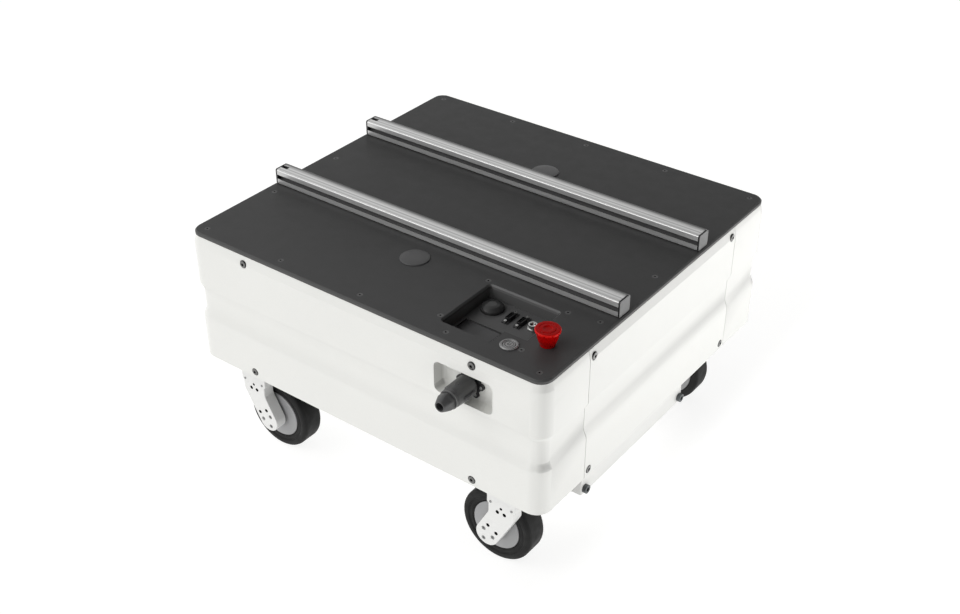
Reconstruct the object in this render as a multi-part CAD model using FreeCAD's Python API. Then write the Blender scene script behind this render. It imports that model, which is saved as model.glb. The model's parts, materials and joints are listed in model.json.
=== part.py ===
import FreeCAD, Part
import math, os
from FreeCAD import Vector as V

os.makedirs("parts", exist_ok=True)

# ---------------------------------------------------------------- dimensions (mm)
# x: along the connector face, y: front (-y) to back (+y), z: up from the floor
Z_DECK_UNDER = 441.0      # underside of the deck plate
DECK_T = 7.0              # deck plate thickness
DECK_TOP = Z_DECK_UNDER + DECK_T
HX, HY = 372.0, 350.0     # half size of the deck plate
DECK_R = 22.0             # deck corner radius
DECK_CHAMFER = 2.5
SKIN = 3.0                # cover wall thickness
SHELL_BOTTOM = 188.0
# outward offset of the cover surface at each height (slopes, bands and the waist groove)
SKIN_PROFILE = [(188.0, 2.0), (190.0, 4.0), (274.0, 4.0), (289.0, -2.0),
                (330.0, -2.0), (342.5, 4.0), (424.0, 4.0), (441.0, 0.2)]
SEAM_Y = 232.0            # joint line between side panels and end covers
SEAM_GAP = 1.2

PIVOT_X, PIVOT_Y = 280.0, 279.5   # steering axes
TRAIL = 28.6              # wheel axle behind the steering axis
WHEEL_R = 70.0
WHEEL_HALF = 22.0
HUB_R = 46.0
RIM_R = 54.0
ARM_IN, ARM_OUT = 25.4, 47.4      # drive arm, distance from wheel mid plane
ARM_R = 22.0
ARM_HALF = 25.5
ARM_SLOPE = (-0.469, 0.883)

RAIL_Y = 125.0
RAIL = 30.0
RAIL_HALF = 364.4
CAP_T = 3.4

BELLY_X, BELLY_Y, BELLY_Z = 334.0, 169.0, 86.0

TRAY_Z = 423.0            # control tray floor
ESTOP = (318.0, -264.0)
POWER = (272.8, -300.4)
CHARGE = (223.5, 374.5)   # x, z of the charging connector axis
NICHE = (168.4, 281.6, 349.0, 406.0)   # charging niche x0, x1, z0, z1
NICHE_Y = -330.0          # back wall of the niche

FRAME_DY = 27.15          # the body centre lies this far behind the origin, which is the centre of the overall footprint

X, Y, Z = V(1, 0, 0), V(0, 1, 0), V(0, 0, 1)


def save(shape, name):
    shape = shape.copy()
    shape.translate(V(0, FRAME_DY, 0))
    shape = shape.removeSplitter() if len(shape.Solids) == 1 else shape
    shape.exportStep("parts/%s.step" % name)
    bb = shape.BoundBox
    print("%-24s solids %2d valid %s  x %.1f..%.1f y %.1f..%.1f z %.1f..%.1f" % (
        name, len(shape.Solids), shape.isValid(), bb.XMin, bb.XMax, bb.YMin, bb.YMax, bb.ZMin, bb.ZMax))


def box(x0, x1, y0, y1, z0, z1):
    return Part.makeBox(x1 - x0, y1 - y0, z1 - z0, V(x0, y0, z0))


def cyl(r, h, p, d=Z):
    return Part.makeCylinder(r, h, V(*p), d)


def cone(r1, r2, h, p, d=Z):
    return Part.makeCone(r1, r2, h, V(*p), d)


def rrect_wire(x0, x1, y0, y1, r, z):
    k = r * (1 - math.sqrt(0.5))
    e = [Part.makeLine(V(x0 + r, y0, z), V(x1 - r, y0, z)),
         Part.Arc(V(x1 - r, y0, z), V(x1 - k, y0 + k, z), V(x1, y0 + r, z)).toShape(),
         Part.makeLine(V(x1, y0 + r, z), V(x1, y1 - r, z)),
         Part.Arc(V(x1, y1 - r, z), V(x1 - k, y1 - k, z), V(x1 - r, y1, z)).toShape(),
         Part.makeLine(V(x1 - r, y1, z), V(x0 + r, y1, z)),
         Part.Arc(V(x0 + r, y1, z), V(x0 + k, y1 - k, z), V(x0, y1 - r, z)).toShape(),
         Part.makeLine(V(x0, y1 - r, z), V(x0, y0 + r, z)),
         Part.Arc(V(x0, y0 + r, z), V(x0 + k, y0 + k, z), V(x0 + r, y0, z)).toShape()]
    return Part.Wire(e)


def rbox(x0, x1, y0, y1, z0, z1, r):
    return Part.Face(rrect_wire(x0, x1, y0, y1, r, z0)).extrude(V(0, 0, z1 - z0))


def poly(pts, d):
    pts = [V(*p) for p in pts]
    return Part.Face(Part.makePolygon(pts + [pts[0]])).extrude(V(*d))


def revolve(pts, axis_pt, axis, lift):
    """pts are (r, a): radius and distance along the axis; lift is the radial unit direction."""
    a0, ax, up = V(*axis_pt), V(*axis), V(*lift)
    w = [a0 + up * r + ax * a for r, a in pts]
    return Part.Face(Part.makePolygon(w + [w[0]])).revolve(a0, ax, 360)


def cuts(shape, tools):
    return shape.cut(Part.makeCompound(tools)) if tools else shape


def fuse(shapes):
    s = shapes[0].multiFuse(shapes[1:]) if len(shapes) > 1 else shapes[0]
    return s.removeSplitter()


def group(shapes):
    return Part.makeCompound(shapes)


def hexrec(r, depth, p, d):
    """hexagon socket: prism of across-corner radius r going depth into the head along -d"""
    d = V(*d)
    ref = X if abs(d.x) < 0.5 else Y
    s = ref.cross(d)
    pts = [V(*p) + ref * (r * math.cos(math.radians(60 * i))) + s * (r * math.sin(math.radians(60 * i))) for i in range(6)]
    return Part.Face(Part.makePolygon(pts + [pts[0]])).extrude(d * -depth)


# ---------------------------------------------------------------- deck plate
def opening_outline(grow, z0, z1):
    """L-shaped opening above the control tray"""
    a = rbox(148.7 - grow, 285.0 + grow, -308.7 - grow, -180.4 + grow, z0, z1, 5.0 + grow)
    b = box(243.2 + grow, 300.0, -330.0, -272.5 - grow, z0 - 1, z1 + 1)
    return a.cut(b)


EDGE_SCREWS = [(sx * 349.0, sy) for sx in (-1, 1) for sy in (-330.0, -165.0, 0.0, 165.0, 330.0)] + \
              [(sx, sy * 330.0) for sx in (-174.5, 0.0, 174.5) for sy in (-1, 1)]
TRAY_SCREWS = [(139.2, -173.3), (139.2, -298.8), (294.5, -298.8), (294.5, -173.3)]
DECK_CAPS = [(0.0, -190.5), (0.0, 190.5)]
RAIL_BOLTS = [(bx, sy * RAIL_Y) for bx in (-320.0, -107.0, 107.0, 320.0) for sy in (-1, 1)]

deck = rbox(-HX, HX, -HY, HY, Z_DECK_UNDER, DECK_TOP, DECK_R)
top_edges = [e for e in deck.Edges if abs(e.BoundBox.ZMin - DECK_TOP) < 1e-6 and abs(e.BoundBox.ZMax - DECK_TOP) < 1e-6]
deck = deck.makeChamfer(DECK_CHAMFER, top_edges)
hole = opening_outline(0.0, Z_DECK_UNDER - 1, DECK_TOP + 1)
rim = Part.makeLoft([w for w in (
    [f for f in opening_outline(0.0, DECK_TOP - DECK_CHAMFER, DECK_TOP).Faces if abs(f.CenterOfMass.z - (DECK_TOP - DECK_CHAMFER)) < 1e-6][0].OuterWire,
    [f for f in opening_outline(DECK_CHAMFER, DECK_TOP, DECK_TOP + 1).Faces if abs(f.CenterOfMass.z - DECK_TOP) < 1e-6][0].OuterWire)], True, True)
tools = [hole, rim]
for x, y in EDGE_SCREWS + TRAY_SCREWS:
    tools += [cyl(2.8, DECK_T + 2, (x, y, Z_DECK_UNDER - 1)), cone(2.8, 5.3, 2.7, (x, y, DECK_TOP - 2.7 + 0.01))]
for x, y in DECK_CAPS:
    tools.append(cyl(22.0, DECK_T + 2, (x, y, Z_DECK_UNDER - 1)))
for x, y in RAIL_BOLTS:
    tools += [cyl(3.3, DECK_T + 2, (x, y, Z_DECK_UNDER - 1)), cone(6.4, 3.3, 3.1, (x, y, Z_DECK_UNDER - 0.01))]
tools += [cyl(11.3, DECK_T + 2, (ESTOP[0], ESTOP[1], Z_DECK_UNDER - 1)), cyl(12.3, DECK_T + 2, (POWER[0], POWER[1], Z_DECK_UNDER - 1))]
deck = cuts(deck, tools)
save(deck, "deck_plate")


def csk(x, y, ztop, down=14.0, r=5.0, shank=2.5):
    s = fuse([cone(shank, r, r - shank, (x, y, ztop - (r - shank))), cyl(shank, down, (x, y, ztop - down))])
    return s.cut(hexrec(1.75, 2.0, (x, y, ztop), (0, 0, 1)))


save(group([csk(x, y, DECK_TOP - 0.2) for x, y in EDGE_SCREWS] + [csk(x, y, DECK_TOP - 0.2, 13.0) for x, y in TRAY_SCREWS]), "deck_screws")

caps = []
for x, y in DECK_CAPS:
    c = revolve([(0, 0), (21.8, 0), (21.8, 7.0), (26.0, 7.0), (26.0, 8.2), (25.0, 9.0), (0, 9.6)], (x, y, Z_DECK_UNDER), (0, 0, 1), (1, 0, 0))
    c = c.cut(cyl(19.5, 6.0, (x, y, Z_DECK_UNDER - 1)))
    caps.append(c)
save(group(caps), "deck_caps")

# ---------------------------------------------------------------- t-slot rails
h = RAIL / 2


def slot_tool(rot):
    prof = [(-4.1, h + 1), (-4.1, h - 2.2), (-8.2, h - 2.2), (-8.2, h - 5.2), (-4.6, h - 9.0), (4.6, h - 9.0),
            (8.2, h - 5.2), (8.2, h - 2.2), (4.1, h - 2.2), (4.1, h + 1)]
    c, s = math.cos(rot), math.sin(rot)
    return [(c * a - s * b, s * a + c * b) for a, b in prof]


def rail_body(yc):
    zc = DECK_TOP + h
    r = rbox(-h, h, -h, h, 0, 2 * RAIL_HALF, 3.4)
    t = [Part.Face(Part.makePolygon([V(a, b, -1) for a, b in slot_tool(k * math.pi / 2) + slot_tool(k * math.pi / 2)[:1]])).extrude(V(0, 0, 2 * RAIL_HALF + 2)) for k in range(4)]
    t.append(cyl(3.4, 2 * RAIL_HALF + 2, (0, 0, -1)))
    r = cuts(r, t)
    r.Placement = FreeCAD.Placement(V(-RAIL_HALF, yc, zc), FreeCAD.Rotation(V(0, 1, 0), 90))
    return r


save(rail_body(-RAIL_Y), "front_rail")
save(rail_body(RAIL_Y), "rear_rail")
ends = []
for sy in (-1, 1):
    for sx in (-1, 1):
        x0 = RAIL_HALF if sx > 0 else -RAIL_HALF - CAP_T
        y0, y1, z0, z1 = sy * RAIL_Y - h, sy * RAIL_Y + h, DECK_TOP, DECK_TOP + RAIL

        def plate(xa, xb, inset, r):
            w = rrect_wire(z0 + inset, z1 - inset, y0 + inset, y1 - inset, r, 0)
            f = Part.Face(w).extrude(V(0, 0, xb - xa))
            f.Placement = FreeCAD.Placement(V(xb, 0, 0), FreeCAD.Rotation(V(0, 1, 0), -90))
            return f

        n0, n1 = sorted((sx * RAIL_HALF, sx * (RAIL_HALF + 2.6)))
        p0, p1 = sorted((sx * (RAIL_HALF + 2.6), sx * (RAIL_HALF + CAP_T)))
        c = fuse([plate(n0, n1, 0.9, 2.6), plate(p0, p1, 0.3, 3.0)])     # neck and face plate
        c = fuse([c, cyl(3.2, 8.0, (x0 + CAP_T if sx < 0 else x0 - 8.0, sy * RAIL_Y, DECK_TOP + h), X)])
        ends.append(c)
save(group(ends), "rail_end_caps")
strips = []
for sy in (-1, 1):
    y = sy * RAIL_Y
    zt = DECK_TOP + RAIL
    strips.append(fuse([box(-350.0, RAIL_HALF, y - 4.0, y + 4.0, zt - 4.0, zt - 0.3), box(-350.0, RAIL_HALF, y - 6.0, y + 6.0, zt - 4.0, zt - 2.4)]))
save(group(strips), "rail_slot_strips")
bolts = []
for x, y in RAIL_BOLTS:
    head = cone(6.0, 3.0, 3.0, (x, y, Z_DECK_UNDER))
    b = fuse([head, cyl(3.0, 14.0, (x, y, Z_DECK_UNDER))]).cut(hexrec(2.3, 2.0, (x, y, Z_DECK_UNDER), (0, 0, -1)))
    bolts.append(b)
    nut = poly([(x - 8, y - 7.8, DECK_TOP + 2.4), (x + 8, y - 7.8, DECK_TOP + 2.4), (x + 8, y + 7.8, DECK_TOP + 2.4), (x - 8, y + 7.8, DECK_TOP + 2.4)], (0, 0, 2.6))
    bolts.append(nut.cut(cyl(3.02, 6.0, (x, y, DECK_TOP + 1))))
save(group(bolts), "rail_bolts")

# ---------------------------------------------------------------- cover skin (end covers and side panels)
def skin_solid(inset, z_lo, z_hi, levels):
    wires = []
    for z, d in levels:
        o = d - inset
        wires.append(rrect_wire(-HX - o, HX + o, -HY - o, HY + o, max(DECK_R + 2 + o, 2), z))
    return Part.makeLoft(wires, True, True)


outer = skin_solid(0.0, SHELL_BOTTOM, Z_DECK_UNDER, SKIN_PROFILE)
inner_levels = [(SHELL_BOTTOM - 1, 4.0)] + [(z, d) for z, d in SKIN_PROFILE[2:-1]] + [(Z_DECK_UNDER + 1, 0.0)]
inner = skin_solid(SKIN, SHELL_BOTTOM, Z_DECK_UNDER, inner_levels)
skin = outer.cut(inner)
top_trim = box(-500, 500, -500, 500, Z_DECK_UNDER - 0.2, Z_DECK_UNDER + 50)
skin = skin.cut(top_trim)

Z_UP, Z_LOW = 426.3, 202.0
END_SCREWS = [(sx * 241.5, sz) for sx in (-1, 1) for sz in (Z_LOW, Z_UP)]
SIDE_SCREWS = [(sy * 220.0, sz) for sy in (-1, 1) for sz in (Z_LOW, Z_UP)]


def screw_y(x, z, s):
    """button head screw in an end cover; s = -1 front, +1 back"""
    ys = s * (HY + 3.4)
    head = revolve([(0, -1.6), (7.1, -1.6), (7.1, 0.2), (6.2, 1.2), (4.4, 1.9), (0, 1.9)], (x, ys, z), (0, s, 0), (1, 0, 0))
    sh = cyl(2.9, 16.0, (x, ys - s * 1.0, z), V(0, -s, 0))
    return fuse([head, sh]).cut(hexrec(2.9, 3.0, (x, ys + s * 2.0, z), (0, s, 0)))


def screw_x(y, z, s):
    xs = s * (HX + 3.4)
    head = revolve([(0, -1.6), (7.1, -1.6), (7.1, 0.2), (6.2, 1.2), (4.4, 1.9), (0, 1.9)], (xs, y, z), (s, 0, 0), (0, 0, 1))
    sh = cyl(2.9, 16.0, (xs - s * 1.0, y, z), V(-s, 0, 0))
    return fuse([head, sh]).cut(hexrec(2.9, 3.0, (xs + s * 2.0, y, z), (s, 0, 0)))


seat_tools = []
for s in (-1, 1):
    for x, z in END_SCREWS:
        seat_tools += [cyl(7.5, 10.0, (x, s * (HY + 3.4) - s * 1.6, z), V(0, s, 0)), cyl(3.1, 30.0, (x, s * (HY + 12.0), z), V(0, -s, 0))]
    for y, z in SIDE_SCREWS:
        seat_tools += [cyl(7.5, 10.0, (s * (HX + 3.4) - s * 1.6, y, z), V(s, 0, 0)), cyl(3.1, 30.0, (s * (HX + 12.0), y, z), V(-s, 0, 0))]
skin = cuts(skin, seat_tools)
mid = box(-500, 500, -SEAM_Y + SEAM_GAP / 2, SEAM_Y - SEAM_GAP / 2, 0, 600)
front_part = skin.common(box(-500, 500, -500, -SEAM_Y - SEAM_GAP / 2, 0, 600))
back_part = skin.common(box(-500, 500, SEAM_Y + SEAM_GAP / 2, 500, 0, 600))
sides = skin.common(mid)
left_side = sides.common(box(-500, 0, -500, 500, 0, 600))
right_side = sides.common(box(0, 500, -500, 500, 0, 600))

# charging niche moulded into the front cover
nx0, nx1, nz0, nz1 = NICHE


def niche(grow, y0, y1):
    w = rrect_wire(nx0 - grow, nx1 + grow, nz0 - grow, nz1 + grow, 11.0 + grow, 0)
    f = Part.Face(w).extrude(V(0, 0, y1 - y0))
    f.Placement = FreeCAD.Placement(V(0, y1, 0), FreeCAD.Rotation(V(1, 0, 0), 90))
    return f


pocket_out = niche(2.6, -352.0, NICHE_Y + 2.6)
pocket_in = niche(0.0, -400.0, NICHE_Y)
pocket_in = pocket_in.makeFillet(6.0, [e for e in pocket_in.Edges if abs(e.BoundBox.YMin - NICHE_Y) < 1e-6 and abs(e.BoundBox.YMax - NICHE_Y) < 1e-6])
front_cover = fuse([front_part, pocket_out]).cut(pocket_in)
front_cover = front_cover.cut(cyl(17.0, 20.0, (CHARGE[0], -340.0, CHARGE[1]), Y))
lobes = [(CHARGE[0] + 21.0 * math.cos(math.radians(60 * i)), CHARGE[1] + 21.0 * math.sin(math.radians(60 * i))) for i in range(6)]
front_cover = cuts(front_cover, [cyl(1.7, 20.0, (x, -340.0, z), Y) for x, z in lobes] + [cyl(5.8, 8.0, (x, NICHE_Y, z), V(0, -1, 0)) for x, z in lobes])
save(front_cover, "front_cover")
save(back_part, "rear_cover")
save(left_side, "left_side_panel")
save(right_side, "right_side_panel")
save(group([screw_y(x, z, s) for s in (-1, 1) for x, z in END_SCREWS] + [screw_x(y, z, s) for s in (-1, 1) for y, z in SIDE_SCREWS]), "cover_screws")

# ---------------------------------------------------------------- charging connector
cx, cz = CHARGE
flange = cyl(20.5, 4.0, (cx, NICHE_Y, cz), V(0, -1, 0))
flange = fuse([flange] + [cyl(5.6, 4.0, (x, NICHE_Y, z), V(0, -1, 0)) for x, z in lobes] + [cyl(16.6, 26.0, (cx, NICHE_Y - 1.0, cz), Y)])
flange = flange.cut(cyl(13.5, 22.0, (cx, NICHE_Y - 6.0, cz), Y))
flange = cuts(flange, [cyl(1.7, 10.0, (x, NICHE_Y - 6.0, z), Y) for x, z in lobes])
save(flange, "charge_receptacle")
rs = []
for x, z in lobes:
    s = fuse([revolve([(0, 0), (2.9, 0), (2.9, 1.0), (1.8, 1.8), (0, 1.8)], (x, NICHE_Y - 4.0, z), (0, -1, 0), (1, 0, 0)), cyl(1.6, 11.0, (x, NICHE_Y - 4.5, z), Y)])
    rs.append(s.cut(hexrec(1.2, 1.2, (x, NICHE_Y - 5.8, z), (0, -1, 0))))
save(group(rs), "receptacle_screws")
Y0 = NICHE_Y - 6.2
plug = revolve([(0, 0), (16.6, 0), (17.0, 3.0), (18.6, 4.0), (18.6, 22.0), (18.0, 32.0), (17.0, 45.0), (16.6, 52.4), (0, 52.4)], (cx, Y0, cz), (0, -1, 0), (1, 0, 0))
plug = fuse([plug, cyl(13.2, 12.0, (cx, Y0 - 1.0, cz), Y),
             box(cx - 21.8, cx + 21.8, Y0 - 34.0, Y0 - 12.0, cz - 3.4, cz + 3.4),
             cyl(4.0, 3.4, (cx, Y0 - 30.0, cz + 15.8), Z)])
plug = plug.cut(cyl(7.4, 70.0, (cx, Y0 - 60.0, cz), Y))
plug = fuse([plug, cyl(7.4, 8.0, (cx, Y0 - 10.0, cz), Y)])
save(plug, "charge_plug")
nut = revolve([(6.9, 0), (15.0, 0), (15.0, 8.0), (13.8, 10.5), (12.0, 15.0), (10.2, 18.6), (8.8, 21.0), (6.9, 21.0)], (cx, Y0 - 52.4, cz), (0, -1, 0), (1, 0, 0))
flats = []
for i in range(6):
    a = math.radians(60 * i + 30)
    d = V(math.cos(a), 0, math.sin(a))
    p = V(cx, Y0 - 60.0, cz) + d * 18.6
    b = Part.makeBox(10, 26, 30, V(-5, -13, -15))
    b.Placement = FreeCAD.Placement(p, FreeCAD.Rotation(V(0, 1, 0), -math.degrees(a)))
    flats.append(b)
nut = cuts(nut, flats)
save(nut, "plug_gland_nut")

# ---------------------------------------------------------------- control tray and its devices
def opening_at(grow, z0, z1):
    return opening_outline(grow, z0, z1)


tray = fuse([rbox(129.2, 303.5, -315.5, -163.3, 438.0, 441.0, 6.0), opening_at(2.5, TRAY_Z - 3.0, 439.0),
             box(152.0, 227.0, -308.0, -248.8, 411.5, TRAY_Z - 2.0)])
tray = cuts(tray, [opening_at(0.0, TRAY_Z, 442.0), box(154.4, 224.4, -305.5, -251.3, 414.0, 425.0)] +
            [cyl(2.55, 8.0, (x, y, 436.0)) for x, y in TRAY_SCREWS] +
            [cyl(12.9, 40.0, (POWER[0], POWER[1], 405.0))])
DSUB = [(211.0, -211.0), (233.5, -211.0)]
M12 = (257.0, -215.0)
ANT = (172.0, -206.5)
tray = cuts(tray, [box(x - 4.6, x + 4.6, y - 9.6, y + 9.6, 410.0, 430.0) for x, y in DSUB] +
            [cyl(2.0, 20.0, (x, y + s * 14.2, 415.0)) for x, y in DSUB for s in (-1, 1)] +
            [cyl(6.2, 20.0, (M12[0], M12[1], 415.0)), cyl(4.1, 20.0, (ANT[0], ANT[1], 415.0))])
save(tray, "control_tray")

disp = rbox(156.4, 222.4, -303.8, -253.0, 414.0, 421.4, 2.0)
save(disp, "status_display")
ant = revolve([(0, 0), (19.6, 0), (20.0, 1.0), (20.0, 4.4), (18.6, 6.6), (15.0, 8.6), (9.0, 10.0), (0, 10.4)], (ANT[0], ANT[1], TRAY_Z), (0, 0, 1), (1, 0, 0))
ant = fuse([ant, cyl(4.0, 14.0, (ANT[0], ANT[1], TRAY_Z - 13.0))])
save(ant, "antenna_dome")
ports, pscrews = [], []
for x, y in DSUB:
    b = fuse([rbox(x - 6.3, x + 6.3, y - 17.4, y + 17.4, TRAY_Z, TRAY_Z + 1.2, 1.5),
              rbox(x - 4.3, x + 4.3, y - 9.3, y + 9.3, TRAY_Z - 10.0, TRAY_Z + 6.6, 1.5)])
    b = cuts(b, [rbox(x - 3.5, x + 3.5, y - 8.4, y + 8.4, TRAY_Z + 1.6, TRAY_Z + 8.0, 1.2)] + [cyl(1.7, 6.0, (x, y + s * 14.2, TRAY_Z - 2.0)) for s in (-1, 1)])
    pins = [cyl(0.5, 4.0, (x - 1.4, y + 2.7 * k, TRAY_Z + 1.0)) for k in (-2, -1, 0, 1, 2)] + [cyl(0.5, 4.0, (x + 1.4, y + 2.7 * k - 1.35, TRAY_Z + 1.0)) for k in (-1, 0, 1, 2)]
    b = fuse([b] + pins)
    ports.append(b)
    for s in (-1, 1):
        q = fuse([cyl(2.3, 3.4, (x, y + s * 14.2, TRAY_Z + 1.2)), cyl(1.6, 9.0, (x, y + s * 14.2, TRAY_Z - 6.0))])
        pscrews.append(q.cut(cyl(1.2, 2.6, (x, y + s * 14.2, TRAY_Z + 2.4))))
save(group(ports), "serial_ports")
save(group(pscrews), "port_screws")
hx = [V(M12[0] + 9.4 * math.cos(math.radians(60 * i)), M12[1] + 9.4 * math.sin(math.radians(60 * i)), TRAY_Z) for i in range(6)]
m12 = fuse([Part.Face(Part.makePolygon(hx + [hx[0]])).extrude(V(0, 0, 3.5)), cyl(7.0, 10.5, (M12[0], M12[1], TRAY_Z)), cyl(6.0, 16.0, (M12[0], M12[1], TRAY_Z - 14.0))])
m12 = m12.cut(cyl(5.2, 8.0, (M12[0], M12[1], TRAY_Z + 4.0)))
m12 = fuse([m12, cyl(4.2, 4.0, (M12[0], M12[1], TRAY_Z + 3.0))] )
save(m12, "service_connector")

# power push button
px, py = POWER
bez = revolve([(10.3, -2.0), (10.3, 2.0), (11.2, 2.6), (13.6, 2.6), (14.75, 1.4), (14.75, 0), (12.0, 0), (12.0, -38.0), (0, -38.0), (0, -30.0), (10.3, -30.0)], (px, py, DECK_TOP), (0, 0, 1), (1, 0, 0))
save(bez, "power_button_bezel")
capb = revolve([(0, -16.0), (6.0, -16.0), (6.0, -6.0), (10.0, -6.0), (10.0, 1.7), (9.5, 2.2), (0, 2.2)], (px, py, DECK_TOP), (0, 0, 1), (1, 0, 0))
save(capb, "power_button_cap")

# emergency stop
ex, ey = ESTOP
col = revolve([(0, -44.0), (14.0, -44.0), (14.0, -7.0), (11.0, -7.0), (11.0, 0.0), (12.2, 0.0), (12.2, 5.0), (7.2, 5.0), (7.2, -20.0), (0, -20.0)], (ex, ey, DECK_TOP), (0, 0, 1), (1, 0, 0))
save(col, "estop_collar")
rim_z = 24.6
head = revolve([(0, -10.0), (6.9, -10.0), (6.9, 10.0), (12.5, 10.0), (12.5, 4.4), (13.1, 4.4), (14.8, 8.0), (16.8, 14.0), (17.8, 20.0), (18.2, rim_z),
                (19.4, rim_z), (20.4, rim_z + 1.0), (20.4, rim_z + 4.0), (19.4, rim_z + 5.0), (12.0, rim_z + 5.4), (11.0, rim_z + 4.6), (0, rim_z + 4.8)], (ex, ey, DECK_TOP), (0, 0, 1), (1, 0, 0))
scal = [cyl(1.7, 4.0, (ex + 20.9 * math.cos(math.radians(a)), ey + 20.9 * math.sin(math.radians(a)), DECK_TOP + rim_z - 1.0)) for a in range(0, 360, 36)]
head = cuts(head, scal)
save(head, "estop_button")

# ---------------------------------------------------------------- welded frame
def tube(x0, x1, y0, y1, z0, z1, axis, t=2.5):
    o = box(x0, x1, y0, y1, z0, z1)
    if axis == "x":
        i = box(x0 - 1, x1 + 1, y0 + t, y1 - t, z0 + t, z1 - t)
    elif axis == "y":
        i = box(x0 + t, x1 - t, y0 - 1, y1 + 1, z0 + t, z1 - t)
    else:
        i = box(x0 + t, x1 - t, y0 + t, y1 - t, z0 - 1, z1 + 1)
    return o.cut(i)


fr = []
TZ0, TZ1 = 411.0, 441.0
for s in (-1, 1):
    a, b = sorted((s * 338.0, s * 367.0))
    fr.append(tube(a, b, -316.0, 316.0, TZ0, TZ1, "y"))
    c, d = sorted((s * 316.0, s * 345.0))
    fr.append(tube(-338.0, 338.0, c, d, TZ0, TZ1, "x"))
    for q in (-1, 1):
        e, f = sorted((q * 338.0, q * 360.0))
        g, k = sorted((s * 316.0, s * 338.0))
        fr.append(box(e, f, g, k, 223.0, TZ1))          # corner post
        e, f = sorted((q * 338.0, q * 363.0))
        g, k = sorted((s * 315.0, s * 340.0))
        fr.append(box(e, f, g, k, 190.0, 223.0))        # corner block of the lower ring
    # lower ring
    a2, b2 = sorted((s * 346.0, s * 372.0))
    fr.append(tube(a2, b2, -323.0, 323.0, 190.0, 215.0, "y"))
    c2, d2 = sorted((s * 323.0, s * 349.0))
    fr.append(tube(-346.0, 346.0, c2, d2, 190.0, 215.0, "x"))
    # cross members that carry the belly box
    c3, d3 = sorted((s * 144.0, s * 169.0))
    fr.append(tube(-346.0, 346.0, c3, d3, 190.0, 215.0, "x"))
    # rail supports under the deck
    fr.append(tube(-338.0, 338.0, s * RAIL_Y - 12.5, s * RAIL_Y + 12.5, 416.0, 441.0, "x"))
    for q in (-1, 1):
        p0, p1 = sorted((q * 196.0, q * 360.0))
        r0, r1 = sorted((s * 144.0, s * 338.0))
        pad = box(p0, p1, r0, r1, 215.0, 223.0)
        pad = cuts(pad, [cyl(46.5, 20.0, (q * PIVOT_X, s * PIVOT_Y, 210.0))])
        pad = cuts(pad, [cyl(3.3, 20.0, (q * PIVOT_X + 53.0 * math.cos(math.radians(45 + 90 * i)), s * PIVOT_Y + 53.0 * math.sin(math.radians(45 + 90 * i)), 210.0)) for i in range(4)])
        fr.append(pad)
for q in (-1, 1):
    for s in (-1, 1):
        e, f = sorted((q * 342.0, q * 366.0))
        fr.append(box(e, f, s * 155.0 - 12, s * 155.0 + 12, 215.0, 411.0))
for s in (-1, 1):
    for x, z in END_SCREWS:
        fr.append(cyl(9.0, 348.4 - 344.0 if z > 300 else 350.8 - 348.0, (x, s * (344.0 if z > 300 else 348.0), z), V(0, s, 0)))
    for y, z in SIDE_SCREWS:
        fr.append(cyl(9.0, 370.4 - 366.0 if z > 300 else 372.8 - 371.0, (s * (366.0 if z > 300 else 371.0), y, z), V(s, 0, 0)))
fr.append(box(-190.0, 190.0, -145.0, 145.0, 211.0, 215.0))       # equipment shelf
ft = []
for s in (-1, 1):
    for x, z in END_SCREWS:
        ft.append(cyl(2.95, 30.0, (x, s * 360.0, z), V(0, -s, 0)))
    for y, z in SIDE_SCREWS:
        ft.append(cyl(2.95, 30.0, (s * 385.0, y, z), V(-s, 0, 0)))
for x, y in EDGE_SCREWS:
    ft.append(cyl(2.55, 12.0, (x, y, 431.0)))
for x, y in RAIL_BOLTS:
    ft.append(cyl(6.6, 12.0, (x, y, 432.0)))
members = []
for m in fr:                       # each tube, post and pad is trimmed to the ones already laid
    near = [q for q in members if q.BoundBox.intersect(m.BoundBox)]
    if near:
        m = m.cut(Part.makeCompound(near))
    hit = [t for t in ft if t.BoundBox.intersect(m.BoundBox)]
    if hit:
        m = m.cut(Part.makeCompound(hit))
    members += [q for q in m.Solids if q.Volume > 5.0]
frame = group(members)
save(frame, "chassis_frame")

# ---------------------------------------------------------------- belly box with the batteries
BT = 3.0
bel = box(-BELLY_X, BELLY_X, -BELLY_Y, BELLY_Y, BELLY_Z, 190.0)
vert = [e for e in bel.Edges if e.BoundBox.ZLength > 50]
bel = bel.makeFillet(3.0, vert)
bel = bel.cut(box(-BELLY_X + BT, BELLY_X - BT, -BELLY_Y + BT, BELLY_Y - BT, BELLY_Z + BT, 186.0))
bel = bel.cut(box(-BELLY_X + 30, BELLY_X - 30, -BELLY_Y + 28, BELLY_Y - 28, 185.0, 192.0))
BB = [(sx, sy * 159.0) for sx in (-1, 1) for sy in (-1, 1)]
bel = cuts(bel, [cyl(5.1, 20.0, (sx * (BELLY_X + 5), y, 97.0), V(-sx, 0, 0)) for sx, y in BB])
save(bel, "belly_box")
bb = []
for sx, y in BB:
    b = fuse([cyl(8.0, 7.0, (sx * BELLY_X, y, 97.0), V(sx, 0, 0)), cyl(5.0, 14.0, (sx * (BELLY_X + 1), y, 97.0), V(-sx, 0, 0))])
    bb.append(b.cut(hexrec(4.6, 4.5, (sx * (BELLY_X + 7.0), y, 97.0), (sx, 0, 0))))
save(group(bb), "belly_bolts")
bats = []
for sx in (-1, 1):
    a, b = sorted((sx * 12.0, sx * 300.0))
    q = box(a, b, -135.0, 135.0, BELLY_Z + BT, 176.0)
    q = fuse([q.makeFillet(4.0, [e for e in q.Edges if e.BoundBox.ZLength > 50]), cyl(9.0, 8.0, (sx * 60.0, -90.0, 176.0)), cyl(9.0, 8.0, (sx * 60.0, 90.0, 176.0))])
    bats.append(q)
save(group(bats), "battery_packs")
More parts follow.
